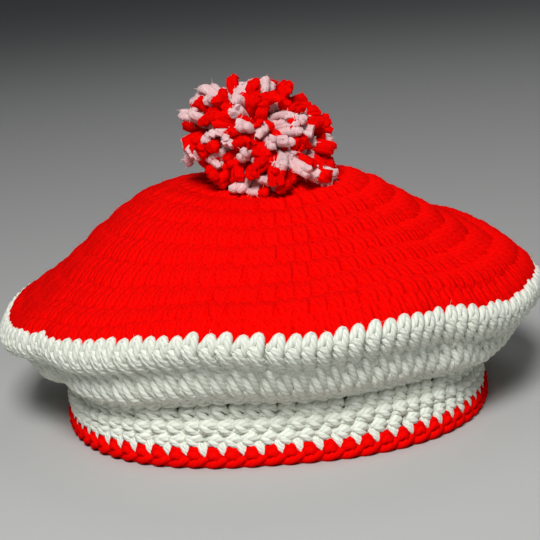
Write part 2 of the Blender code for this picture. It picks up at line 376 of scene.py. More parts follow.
def set_material(tree, geometry, material, selection=True):
    """Gives the geometry, or only the part selected, a material."""
    return output_of(tree, "GeometryNodeSetMaterial",
                     {"Geometry": geometry, "Selection": selection, "Material": material})


def sweep_yarn(tree, curves, radius, sides, offset):
    """Yarn from paths, with its around and along attributes for the material."""
    parameter = add_node(tree, "GeometryNodeSplineParameter")
    along = plus(tree, parameter.outputs["Length"], offset)
    curves = store(tree, curves, "along", along, "FLOAT")
    circle = output_of(tree, "GeometryNodeCurvePrimitiveCircle", {"Resolution": sides, "Radius": radius},
                       mode="RADIUS")
    angle = times(tree, parameter.outputs["Factor"], 2 * math.pi)
    around = combine(tree, math_node(tree, "SINE", angle), math_node(tree, "COSINE", angle), 0.0)
    circle = store(tree, circle, "around", around, "FLOAT_VECTOR")
    thickness = output_of(tree, "GeometryNodeInputRadius")
    return output_of(tree, "GeometryNodeCurveToMesh",
                     {"Curve": curves, "Profile Curve": circle, "Scale": thickness, "Fill Caps": True})


def make_crochet_tree():
    """The tree that adds one round of stitches to a piece."""
    tree, given, result = new_tree("crochet_round", "GeometryNodeTree", (
        ("Geometry", GEOMETRY, None), ("Stitch", OBJECT, None), ("Guide", OBJECT, None),
        ("Stitches", INTEGER, 100), ("Phase", FLOAT, 0.0), ("Start", FLOAT, 0.0), ("Height", FLOAT, 0.1),
        ("Proud", FLOAT, 0.0), ("Slant Left", FLOAT, 0.0), ("Slant Right", FLOAT, 0.0),
        ("Steep Left", FLOAT, 0.0), ("Steep Right", FLOAT, 0.0), ("Swell Left", FLOAT, 0.0),
        ("Swell Right", FLOAT, 0.0), ("Unevenness", FLOAT, 0.1), ("Yarn Radius", FLOAT, 0.0012),
        ("Sides", INTEGER, 6), ("Seed", INTEGER, 0), ("Material", MATERIAL, None),
    ), (("Geometry", GEOMETRY),))
    tree.is_modifier = True

    # One instance of the stitch's paths for each stitch of the round, numbered
    stitch = add_node(tree, "GeometryNodeObjectInfo", {"Object": given["Stitch"]}).outputs["Geometry"]
    guide_mesh = add_node(tree, "GeometryNodeObjectInfo", {"Object": given["Guide"]}).outputs["Geometry"]
    points = output_of(tree, "GeometryNodePoints", {"Count": given["Stitches"]})
    number = output_of(tree, "GeometryNodeInputIndex")
    points = store(tree, points, "stitch_number", number, "INT")
    instances = add_node(tree, "GeometryNodeInstanceOnPoints", {"Points": points, "Instance": stitch})
    paths = realize(tree, instances.outputs[0])

    # Where each point of the paths goes: its turn round the hat and its share of the outline
    number = named(tree, "stitch_number", "INT")
    local = separate(tree, output_of(tree, "GeometryNodeInputPosition"))
    random = random_value(tree, *ALL_WAYS, given["Seed"], number)
    uneven = scaled(tree, random, given["Unevenness"])
    uneven = separate(tree, uneven)
    middle = plus(tree, number, given["Phase"])
    turn = math_node(tree, "DIVIDE", middle, given["Stitches"])
    left_share = math_node(tree, "COSINE", times(tree, minus(tree, turn, MOST_LEANING), 2 * math.pi))
    left_share = times_plus(tree, left_share, 0.5, 0.5)
    slant, steep, swell = (
        output_of(tree, "ShaderNodeMix",
                  {0: left_share, 2: given[name + " Right"], 3: given[name + " Left"]},
                  data_type="FLOAT")
        for name in ("Slant", "Steep", "Swell"))
    upper = math_node(tree, "MAXIMUM", minus(tree, 0.5, local[1]), 0.0)
    lean = times(tree, slant, upper)
    lower = output_of(tree, "ShaderNodeClamp",
                      {"Value": times_plus(tree, local[1], LOWER_RATE, LOWER_START)})
    drop = times(tree, times(tree, steep, lower), local[0])
    arc = times(tree, local[1], minus(tree, 1.0, local[1]))
    bulge = times(tree, swell, times_plus(tree, arc, ARC_HEIGHT, ARC_START))
    across = plus(tree, plus(tree, local[0], lean), uneven[0])
    place_turn = math_node(tree, "DIVIDE", plus(tree, middle, across), given["Stitches"])
    down = plus(tree, times_plus(tree, uneven[1], UNEVEN_DOWN, local[1]), drop)
    place_share = times_plus(tree, down, given["Height"], given["Start"])
    place_share = math_node(tree, "MAXIMUM", place_share, FIRST_PLACE)
    place_share = math_node(tree, "MINIMUM", place_share, LAST_PLACE)
    place = combine(tree, place_turn, place_share, 0.0)
    out = plus(tree, times_plus(tree, uneven[2], UNEVEN_OUT, local[2]), bulge)
    out = times_plus(tree, out, MM, given["Proud"])

    # Lay the paths on the hat, no lower than the ground
    surface = sample_guide(tree, guide_mesh, "", place)
    outward = sample_guide(tree, guide_mesh, "outward", place)
    moved = scaled(tree, outward, out)
    x, y, z = separate(tree, vector_math(tree, "ADD", surface, moved))
    thickness = output_of(tree, "GeometryNodeInputRadius")
    z = math_node(tree, "MAXIMUM", z, times(tree, given["Yarn Radius"], thickness))
    paths = output_of(tree, "GeometryNodeSetPosition",
                      {"Geometry": paths, "Position": combine(tree, x, y, z)})

    # Smooth the paths and sweep the yarn along them
    paths = output_of(tree, "GeometryNodeCurveSplineType", {"Curve": paths}, spline_type="CATMULL_ROM")
    paths = output_of(tree, "GeometryNodeSetSplineResolution", {"Geometry": paths, "Resolution": 2})
    offset = times(tree, number, STITCH_SHIFT)
    yarn = sweep_yarn(tree, paths, given["Yarn Radius"], given["Sides"], offset)
    join = add_node(tree, "GeometryNodeJoinGeometry")
    tree.links.new(yarn, join.inputs[0])
    tree.links.new(given["Geometry"], join.inputs[0])
    realized = realize(tree, join.outputs[0])
    shaded = set_material(tree, realized, given["Material"])
    tree.links.new(shaded, result["Geometry"])
    return tree


crochet_tree = make_crochet_tree()
print("crochet tree:", len(crochet_tree.nodes), "nodes")


# %% Helpers that lay rounds on a piece
def set_inputs(modifier, values):
    """Sets a modifier's inputs, given by name, on the sockets' identifiers."""
    sockets = {item.name: item.identifier for item in modifier.node_group.interface.items_tree
               if item.item_type == "SOCKET" and item.in_out == "INPUT"}
    for name, value in values.items():
        modifier[sockets[name]] = value


def stitch_curve(name, strands):
    """A curve object with one path for each strand of a stitch."""
    curve = bpy.data.curves.new(name, "CURVE")
    curve.dimensions = "3D"
    for strand in strands:
        path = curve.splines.new("POLY")
        path.points.add(len(strand) - 1)
        for point, (across, down, out, thickness) in zip(path.points, strand):
            point.co = (across, down, out, 1.0)
            point.radius = thickness
    stitch = bpy.data.objects.new(name, curve)
    bpy.context.scene.collection.objects.link(stitch)
    helpers.append(stitch)
    return stitch


def new_piece(name):
    """An empty mesh object for a piece of the hat."""
    piece = bpy.data.objects.new(name, bpy.data.meshes.new(name))
    bpy.context.scene.collection.objects.link(piece)
    return piece


def crochet(piece, stitch, count, start, end, material, proud, radius, seed, **values):
    """Adds one round to a piece, between two places down the outline, with lengths in millimetres.

    Slant, steep and swell are pairs, for the left and the right of the hat.
    """
    modifier = piece.modifiers.new("round", "NODES")
    modifier.node_group = crochet_tree
    settings = {"Stitch": stitch, "Guide": guide, "Stitches": count, "Material": material, "Seed": seed,
                "Start": start / outline[-1], "Height": (end - start) / outline[-1],
                "Proud": proud * MM, "Yarn Radius": radius * MM}
    for name, value in values.items():
        if isinstance(value, tuple):
            settings[name.title() + " Left"], settings[name.title() + " Right"] = value
        else:
            settings[name.title()] = value
    set_inputs(modifier, settings)


def settle(piece, node):
    """Turns a piece into a plain mesh, puts it under the root body and hides the solid that it stands for.
    """
    evaluated = piece.evaluated_get(bpy.context.evaluated_depsgraph_get())
    mesh = bpy.data.meshes.new_from_object(evaluated)
    piece.modifiers.clear()
    piece.data = mesh
    mesh.name = piece.name
    mesh.shade_smooth()
    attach(piece, "root")
    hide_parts(node)
    triangles = sum(len(face.vertices) - 2 for face in mesh.polygons)
    print(piece.name, triangles, "triangles")


# %% [markdown]
# # Yarn as a material
# The hat is made of soft twisted yarn. Close up, yarn is several plies that wind round each other, and
# each ply is a bundle of fine fibres. Modelling the plies would need millions of faces, so a shader group
# works them out from the around and along attributes: the ply's height is a wave that runs round the
# yarn and moves on along it, and the fibres are noise stretched along the plies. Both the red and the
# white yarn use the group, so it is built once. The grooves between the plies get a painted shade, a
# darker colour, and the colour changes a little from place to place, as hand-worked yarn does.

# %% The yarn twist group
FIBRE_STRETCH, PATCH_SCALE = 120.0, 55.0
FIBRE_HEIGHT, GROOVE_POWER = 0.5, 0.6


def make_twist_group():
    """A group that gives the height and the shade of twisted yarn."""
    tree, given, result = new_tree("yarn_twist", "ShaderNodeTree", (
        ("Plies", FLOAT, 4.0), ("Twist", FLOAT, 90.0), ("Fibre Scale", FLOAT, 3.0),
    ), (("Height", FLOAT), ("Groove", FLOAT), ("Patch", FLOAT)))
    around = add_node(tree, "ShaderNodeAttribute", attribute_name="around").outputs["Vector"]
    along = add_node(tree, "ShaderNodeAttribute", attribute_name="along").outputs["Fac"]
    sine, cosine, _ = separate(tree, around)
    angle = math_node(tree, "ARCTAN2", sine, cosine)
    turned = times_plus(tree, along, given["Twist"], angle)
    half_wave = times(tree, turned, times(tree, given["Plies"], 0.5))
    ply = math_node(tree, "ABSOLUTE", math_node(tree, "SINE", half_wave))
    place = combine(tree, math_node(tree, "SINE", turned), math_node(tree, "COSINE", turned),
                    times(tree, along, FIBRE_STRETCH))
    fibre = output_of(tree, "ShaderNodeTexNoise",
                      {"Vector": place, "Scale": given["Fibre Scale"], "Detail": 3.0})
    height = times_plus(tree, fibre, FIBRE_HEIGHT, ply)
    position = add_node(tree, "ShaderNodeTexCoord").outputs["Object"]
    patch = output_of(tree, "ShaderNodeTexNoise", {"Vector": position, "Scale": PATCH_SCALE, "Detail": 2.0})
    tree.links.new(height, result["Height"])
    tree.links.new(math_node(tree, "POWER", ply, GROOVE_POWER), result["Groove"])
    tree.links.new(patch, result["Patch"])
    return tree


twist_group = make_twist_group()
print("yarn twist group:", len(twist_group.nodes), "nodes")


# %% Yarn materials
YARN_PLIES, YARN_TWIST = 4.0, 620.0
YARN_ROUGHNESS, YARN_RELIEF, SHEEN_ROUGHNESS = 0.92, 0.35, 0.5


def mix_colour(tree, factor, first, second):
    """A colour between two, by a factor; a plain colour is given as three numbers."""
    first, second = ((*colour, 1.0) if isinstance(colour, tuple) else colour for colour in (first, second))
    return add_node(tree, "ShaderNodeMix", {0: factor, 6: first, 7: second}, data_type="RGBA").outputs[2]


def new_material(name, roughness, gloss):
    """A material with its node tree and its shader."""
    material = bpy.data.materials.new(name)
    material.use_nodes = True
    shader = material.node_tree.nodes["Principled BSDF"]
    shader.inputs["Roughness"].default_value = roughness
    shader.inputs["Specular IOR Level"].default_value = gloss
    return material, material.node_tree, shader


def add_sheen(shader, colour, sheen):
    """The soft glow of the fine fibres that stand out of yarn."""
    shader.inputs["Sheen Weight"].default_value = sheen
    shader.inputs["Sheen Roughness"].default_value = SHEEN_ROUGHNESS
    shader.inputs["Sheen Tint"].default_value = (*colour, 1.0)


def shade_yarn(tree, shader, colour, height, strength, distance):
    """Gives a shader its colour and a fine relief from a height; the distance is in millimetres."""
    tree.links.new(colour, shader.inputs["Base Color"])
    bump = output_of(tree, "ShaderNodeBump",
                     {"Height": height, "Strength": strength, "Distance": distance * MM})
    tree.links.new(bump, shader.inputs["Normal"])


def yarn_material(name, colour, groove_shade_colour, patch_colour, relief, sheen, gloss):
    """A yarn with its own colours and softness, and a painted shade in the grooves between its plies."""
    material, tree, shader = new_material(name, YARN_ROUGHNESS, gloss)
    group = add_node(tree, "ShaderNodeGroup", node_tree=twist_group)
    group.inputs["Plies"].default_value = YARN_PLIES
    group.inputs["Twist"].default_value = YARN_TWIST
    patched = mix_colour(tree, group.outputs["Patch"], colour, patch_colour)
    # painted shade: the groove colour darkens the grooves between the plies
    shaded = mix_colour(tree, group.outputs["Groove"], groove_shade_colour, patched)
    shade_yarn(tree, shader, shaded, group.outputs["Height"], relief, YARN_RELIEF)
    add_sheen(shader, colour, sheen)
    material.diffuse_color = (*colour, 1.0)
    return material


# The groove colours are a painted shade for the grooves between the plies; the patch colours are the yarn's
# own uneven tone.
RED = (0.85, 0.0015, 0.0005)
RED_GROOVE_SHADE = (0.70, 0.0005, 0.0)
RED_PATCH = (0.77, 0.001, 0.0003)
WHITE = (0.79, 0.82, 0.73)
WHITE_GROOVE_SHADE = (0.60, 0.62, 0.54)
WHITE_PATCH = (0.71, 0.74, 0.65)
red_yarn = yarn_material("red_yarn", RED, RED_GROOVE_SHADE, RED_PATCH, 0.13, 0.2, 0.03)
white_yarn = yarn_material("white_yarn", WHITE, WHITE_GROOVE_SHADE, WHITE_PATCH, 0.42, 0.3, 0.12)
print("materials:", red_yarn.name, white_yarn.name)

# %% [markdown]
# # The red crown
# The crown is double crochet, worked in rounds from the centre out, with more stitches in each round so
# that it stays flat and then curves down. Seen from outside each stitch is a slim leaf: two legs of yarn
# that part at the top and meet at the foot, with a third strand wound across them, and a loop that lies
# along the round's edge. The table gives each strand as points: how far across the stitch, how far down
# the round, how far out of the fabric in millimetres, and how thick the yarn is there.

# %% Crochet the crown
CROWN_STITCHES = (12, 22, 33, 44, 55, 66, 76, 86, 96, 106, 116)
CROWN_LEAF = (
    ((-0.14, -0.14, 1.0, 1.0), (-0.32, 0.10, 1.7, 1.1), (-0.32, 0.44, 1.9, 1.2), (-0.17, 0.80, 1.8, 1.15),
     (0.02, 1.08, 1.2, 1.0)),
    ((0.12, -0.14, 1.0, 1.0), (0.27, 0.16, 1.7, 1.1), (0.28, 0.50, 1.9, 1.2), (0.19, 0.86, 1.7, 1.15),
     (0.12, 1.12, 1.1, 1.0)),
    ((-0.40, 0.12, 0.8, 1.0), (-0.12, 0.36, 2.0, 1.1), (0.12, 0.64, 2.0, 1.1), (0.44, 0.90, 0.8, 1.0)),
    ((-0.56, 0.02, 1.2, 1.1), (-0.22, -0.03, 1.5, 1.1), (0.18, 0.07, 1.5, 1.1), (0.56, 0.02, 1.2, 1.1)),
)
RED_BELOW_RIM = 6.5
CROWN_TOP_ROUNDS = 8
crown_stitch = stitch_curve("crown_stitch", CROWN_LEAF)
crown_end = outline_at("rim_line") + RED_BELOW_RIM
crown_height = crown_end / len(CROWN_STITCHES)
crown_top, crown_side = new_piece("crown_top"), new_piece("crown_side")
for number, count in enumerate(CROWN_STITCHES):
    piece = crown_top if number < CROWN_TOP_ROUNDS else crown_side
    crochet(piece, crown_stitch, count, number * crown_height, (number + 1) * crown_height, red_yarn,
            -2.7, 1.55, 100 + number, phase=0.37 * number, slant=(0.3, -0.1), swell=(0.1, 1.7),
            unevenness=0.12, sides=5)
settle(crown_top, "crown")
settle(crown_side, "crown")

# %% [markdown]
# # The white brim
# The brim is two rounds of double crochet in white. The first is worked into the crown's last round, so
# its tops stand over the red as a row of round arches, and under them the yarn winds down to the right in
# slanting strands. The second turns in under the edge: each stitch is a loop that leans over, with strands
# beside it that slant down to the right and one along the foot of the row. A soft groove parts the two
# rounds.

# %% Crochet the brim
RIM_ARCH = (
    ((-0.47, 0.66, -0.2, 1.0), (-0.38, 0.48, 1.3, 1.3), (-0.26, 0.33, 2.1, 1.4), (-0.15, 0.23, 2.5, 1.4),
     (0.00, 0.19, 2.6, 1.4), (0.13, 0.23, 2.5, 1.4), (0.19, 0.34, 2.2, 1.4), (0.21, 0.48, 1.5, 1.3),
     (0.30, 0.62, -0.2, 1.0)),
    ((-0.58, 0.44, -0.3, 0.9), (-0.36, 0.42, 1.7, 1.1), (-0.05, 0.46, 2.4, 1.2), (0.26, 0.55, 2.2, 1.15),
     (0.52, 0.62, 0.5, 0.9)),
    ((-0.56, 0.58, -0.3, 0.9), (-0.32, 0.58, 1.8, 1.1), (0.00, 0.64, 2.5, 1.2), (0.28, 0.72, 2.1, 1.15),
     (0.54, 0.77, 0.3, 0.9)),
    ((-0.54, 0.74, -0.2, 0.9), (-0.30, 0.75, 1.7, 1.1), (0.02, 0.80, 2.1, 1.15), (0.30, 0.87, 1.6, 1.1),
     (0.54, 0.90, 0.2, 0.9)),
    ((-0.60, 0.95, 0.6, 1.3), (-0.30, 0.94, 0.9, 1.3), (0.00, 0.97, 0.9, 1.3), (0.30, 1.00, 0.8, 1.3),
     (0.60, 0.99, 0.5, 1.3)),
)
UNDER_LOOP = (
    ((-0.60, 0.36, -0.4, 1.0), (-0.54, 0.14, 1.3, 1.15), (-0.34, 0.02, 2.0, 1.25), (-0.09, 0.06, 2.3, 1.25),
     (0.12, 0.24, 2.2, 1.2), (0.33, 0.48, 1.7, 1.15), (0.54, 0.76, 0.4, 1.0)),
    ((-0.46, 0.22, 0.2, 1.0), (-0.28, 0.32, 1.9, 1.25), (-0.05, 0.52, 2.5, 1.35), (0.20, 0.73, 2.0, 1.25),
     (0.42, 0.92, 0.2, 1.0)),
    ((-0.58, 0.44, 0.0, 1.0), (-0.42, 0.56, 1.7, 1.2), (-0.21, 0.72, 2.2, 1.25), (0.04, 0.88, 1.6, 1.15),
     (0.26, 1.01, 0.2, 1.0)),
    ((-0.62, 0.90, 0.0, 1.1), (-0.30, 0.86, 0.9, 1.2), (0.04, 0.94, 1.1, 1.2), (0.34, 0.98, 0.8, 1.2),
     (0.62, 0.94, 0.0, 1.1)),
)
BRIM_STITCHES = (120, 110)
rim_start, groove_at, crease_at = outline_at("rim_line"), outline_at("groove"), outline_at("crease")
rim_stitch = stitch_curve("rim_stitch", RIM_ARCH)
under_stitch = stitch_curve("under_stitch", UNDER_LOOP)
brim = new_piece("brim_stitches")
crochet(brim, rim_stitch, BRIM_STITCHES[0], rim_start, groove_at, white_yarn, -1.7, 1.22, 201,
        slant=(1.3, 0.0), steep=(0.50, 0.05), swell=(0.6, 1.4), unevenness=0.10)
crochet(brim, under_stitch, BRIM_STITCHES[1], groove_at, crease_at, white_yarn, -2.5, 1.3, 202,
        slant=(0.4, -0.5), steep=(0.1, -0.1), swell=(0.9, 1.2), unevenness=0.12)
settle(brim, "brim")

# %% [markdown]
# # The white head band
# The band is four rounds of single crochet, a short and firm stitch. Each one shows as a plump arched
# knot with a slim strand slanting over it, between a strand along the top of its row and one along the
# foot. Here and there a pinhole stays open where the rows meet, and shows the dark inside. So the band
# gets no wall behind it: a thick strand at the back of each stitch closes it nearly, and leaves the
# pinholes open. The last white loops hang down between the red stitches of the edging as pointed teeth,
# so they are a round of their own with as many stitches as the edging.

# %% Crochet the head band
KNOT = (
    ((-0.54, 0.56, -0.9, 1.0), (-0.34, 0.34, 0.9, 1.45), (-0.02, 0.22, 1.5, 1.6), (0.28, 0.36, 1.0, 1.45),
     (0.48, 0.62, -0.9, 1.0)),
    ((-0.40, 0.30, 0.2, 1.0), (-0.18, 0.44, 2.2, 1.2), (0.08, 0.66, 2.2, 1.2), (0.34, 0.94, 0.2, 1.0)),
    ((-0.56, 0.86, -0.6, 1.1), (-0.24, 0.70, 0.8, 1.3), (0.10, 0.80, 1.0, 1.3), (0.44, 0.92, -0.4, 1.1)),
    ((-0.62, 0.52, -1.3, 1.5), (0.00, 0.46, -0.9, 1.6), (0.62, 0.56, -1.3, 1.5)),
    ((-0.58, 0.04, -0.6, 1.0), (-0.20, 0.00, 0.2, 1.2), (0.20, 0.02, 0.2, 1.2), (0.58, 0.06, -0.6, 1.0)),
)
TOOTH = (
    ((0.20, -0.28, 0.4, 0.9), (0.30, -0.04, 1.4, 0.95), (0.44, 0.16, 1.6, 0.8), (0.56, 0.34, 0.9, 0.5)),
    ((0.58, -0.28, 0.4, 0.9), (0.58, -0.04, 1.4, 0.9), (0.60, 0.16, 1.5, 0.7), (0.60, 0.36, 0.8, 0.5)),
    ((0.40, -0.26, 0.8, 0.9), (0.44, -0.06, 1.6, 0.9), (0.52, 0.10, 1.6, 0.8), (0.57, 0.24, 1.0, 0.6)),
)
BAND_STITCHES = (94, 92, 88, 84)
EDGING_STITCHES = 82
edging_at, ground_at = outline_at("edging_top"), outline_at("ground")
BAND_OVERLAP = 2.2
band_start = crease_at - BAND_OVERLAP
band_height = (edging_at - band_start) / len(BAND_STITCHES)
knot = stitch_curve("knot", KNOT)
tooth = stitch_curve("tooth", TOOTH)
band = new_piece("band_stitches")
for number, count in enumerate(BAND_STITCHES):
    start = band_start + number * band_height
    crochet(band, knot, count, start, start + band_height, white_yarn, -2.4, 1.22, 301 + number,
            phase=0.45 * number, slant=(0.3, 0.2), steep=(0.1, -0.1), unevenness=0.13)
crochet(band, tooth, EDGING_STITCHES, edging_at, ground_at, white_yarn, -2.0, 1.2, 310, unevenness=0.05)
settle(band, "band")

# %% [markdown]
# # The red edging
# The last round is red single crochet. Each stitch is a block with a rounded top, and below the blocks
# the round's own chained edge runs on as a rope of slanting links, which the hat stands on.

# %% Crochet the edging
EDGE_BLOCK = (
    ((-0.42, 0.66, -1.2, 1.1), (-0.38, 0.34, 1.0, 1.2), (-0.24, 0.08, 1.8, 1.25), (-0.02, 0.02, 2.2, 1.25),
     (0.18, 0.16, 1.8, 1.2), (0.32, 0.40, 0.7, 1.1), (0.40, 0.62, -1.2, 1.0)),
    ((-0.24, 0.66, 0.2, 1.1), (-0.16, 0.36, 2.2, 1.3), (0.00, 0.28, 2.6, 1.35), (0.14, 0.44, 2.1, 1.2),
     (0.24, 0.68, 0.2, 1.0)),
    ((-0.74, 0.97, -1.8, 1.0), (-0.52, 0.96, 0.4, 1.2), (-0.24, 0.88, 1.9, 1.4), (0.10, 0.74, 2.5, 1.45),
     (0.42, 0.62, 2.0, 1.3), (0.66, 0.56, 0.6, 1.1), (0.80, 0.54, -1.6, 1.0)),
    ((-0.40, 1.00, -1.8, 1.0), (-0.12, 1.02, 0.0, 1.2), (0.22, 0.98, 1.0, 1.3), (0.56, 0.88, 1.1, 1.3),
     (0.84, 0.80, 0.2, 1.2), (1.00, 0.76, -1.2, 1.0)),
    ((-0.30, 0.36, -1.6, 1.4), (0.0, 0.34, -1.2, 1.5), (0.30, 0.38, -1.6, 1.4)),
)
edge_stitch = stitch_curve("edge_stitch", EDGE_BLOCK)
edging = new_piece("edging_stitches")
crochet(edging, edge_stitch, EDGING_STITCHES, edging_at, ground_at, red_yarn, -2.6, 1.2, 401,
        unevenness=0.05)
settle(edging, "edging")

# %% [markdown]
# # The wall behind the stitches
# Under its front strands, double crochet has as much yarn again, which closes the fabric. It hardly
# shows, so a plain wall stands for it: a closed sheet just under the strands, following the same surface,
# in the yarn's own colour, because yarn lit through yarn is hardly darker. Its material carries a weak
# relief, worked out from the flat attribute that it keeps, and a painted shade that darkens the hollows
# of that relief.

# %% Make the walls
CROWN_WALL_OUT, BRIM_WALL_OUT, WALL_IN = -0.3, -0.5, -4.6


def wall_rings(start, end, rows, wall_out):
    """Points of a closed sheet, down its outside and back up its inside, and their flat places."""
    places = np.linspace(start, end, rows)
    table, flats = [], []
    for out, order in ((wall_out, places), (WALL_IN, places[::-1])):
        for place in order:
            reach = np.array([np.interp(place, places_down[:, j], reaches[:, j] + out * out_reaches[:, j])
                              for j in ring_columns])
            height = np.array([np.interp(place, places_down[:, j], heights[:, j] + out * out_heights[:, j])
                               for j in ring_columns])
            angle = azimuths[ring_columns]
            table.append(np.stack([reach * np.cos(angle), reach * np.sin(angle), height], axis=1) * MM)
            flats.append(np.stack([turns[ring_columns], np.full(len(angle), place / 1000.0),
                                   0 * angle], axis=1))
    return np.array(table), np.array(flats)


ring_columns = np.arange(OVERLAP_STEPS, OVERLAP_STEPS + TURN_STEPS, 2)


def make_wall(name, node, material, start, end, rows, wall_out):
    """A closed wall between two places down the outline."""
    table, flats = wall_rings(start, end, rows, wall_out)
    count, around = table.shape[:2]
    index = np.arange(count * around).reshape(count, around)
    below, beside = np.roll(index, -1, axis=0), np.roll(index, -1, axis=1)
    faces = np.stack([index, below, np.roll(below, -1, axis=1), beside], axis=-1).reshape(-1, 4)
    mesh = bpy.data.meshes.new(name)
    mesh.from_pydata(table.reshape(-1, 3), [], faces.tolist())
    add_vectors(mesh, "flat", flats.reshape(-1, 3))
    mesh.materials.append(material)
    mesh.shade_smooth()
    wall = bpy.data.objects.new(name, mesh)
    bpy.context.scene.collection.objects.link(wall)
    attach(wall, "root")
    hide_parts(node)
    print(name, 2 * len(faces), "triangles")
    return wall


WALL_RIBS, WALL_ROW = 200, 0.003
# The darkening factor is a painted shade for the hollows of the wall's relief.
WALL_CONTRAST, WALL_MEAN, WALL_HOLLOW_SHADE = 0.2, 0.5, 0.88
WALL_BUMP, WALL_RELIEF = 0.5, 0.3


def wall_material(name, colour):
    """Plain yarn seen between the strands, with the relief of the rows and a painted shade in its hollows.
    """
    material, tree, shader = new_material(name, 1.0, 0.0)
    flat = add_node(tree, "ShaderNodeAttribute", attribute_name="flat").outputs["Vector"]
    turn, place, _ = separate(tree, flat)
    ribs = math_node(tree, "SINE", times(tree, turn, 2 * math.pi * WALL_RIBS))
    rows = math_node(tree, "SINE", times(tree, place, 2 * math.pi / WALL_ROW))
    height = plus(tree, ribs, rows)
    shade = times_plus(tree, height, WALL_CONTRAST, WALL_MEAN)
    # painted shade: the wall gets darker where its relief is low
    hollow_shade_colour = tuple(WALL_HOLLOW_SHADE * value for value in colour)
    shade_yarn(tree, shader, mix_colour(tree, shade, hollow_shade_colour, colour), height, WALL_BUMP, WALL_RELIEF)
    return material


red_wall = wall_material("red_wall", RED)
white_wall = wall_material("white_wall", WHITE)
make_wall("crown_wall", "crown", red_wall, 1.0, crown_end, 40, CROWN_WALL_OUT)
make_wall("brim_wall", "brim", white_wall, crown_end + 0.3, crease_at + 2.5, 17,
          BRIM_WALL_OUT)

# %% [markdown]
# # The pompom
# The pompom is a bundle of yarn tied in the middle and cut, so its ends spray out as a ball. Each end is
# untwisted and fluffy, thicker at its tip than at its root, and its plies part a little. Red and white
# ends are mixed at random, a few of a colour together. The ball leans and tilts slightly, and its lower
# ends splay forwards over the crown. A tree makes the whole ball: directions spread evenly over a sphere,
# a path from near the middle outwards for each ply, a little bend of its own for each end that never
# leaves the ball's outline, and the same sweep as the crochet's. Ends that would sink into the crown are
# lifted over it, with the crown's height looked up on the guide mesh.

# %% The pompom tree
POMPOM_CENTRE = 114.8
POMPOM_HALF = (33.8, 32.6, 26.2)
POMPOM_ENDS = 560
PLIES_PER_END = 3.0
LOWEST_END = -0.96
CUT_VARIATION = 0.32
PLY_SHIFT = 0.0171
CLUMP_SCALE, COLOUR_CHANCE, WHITE_ABOVE = 5.2, 0.2, 0.515
FLUFF_SCALE, FLUFF_HEIGHT, FLUFF_MEAN = 620.0, 3.6 * MM, 0.45
GOLDEN_ANGLE = math.pi * (3.0 - math.sqrt(5.0))
SWIRL_SEED, ASIDE_SEED, MOST_LIFT = 41, 77, 0.4
TUFT_SCALE, TUFT_STRENGTH = 2.2, 3.0
PLY_PARTING, CROWN_REACH = 0.45, 0.97
FULL_END, END_SLIMMING = 1.1, -0.25


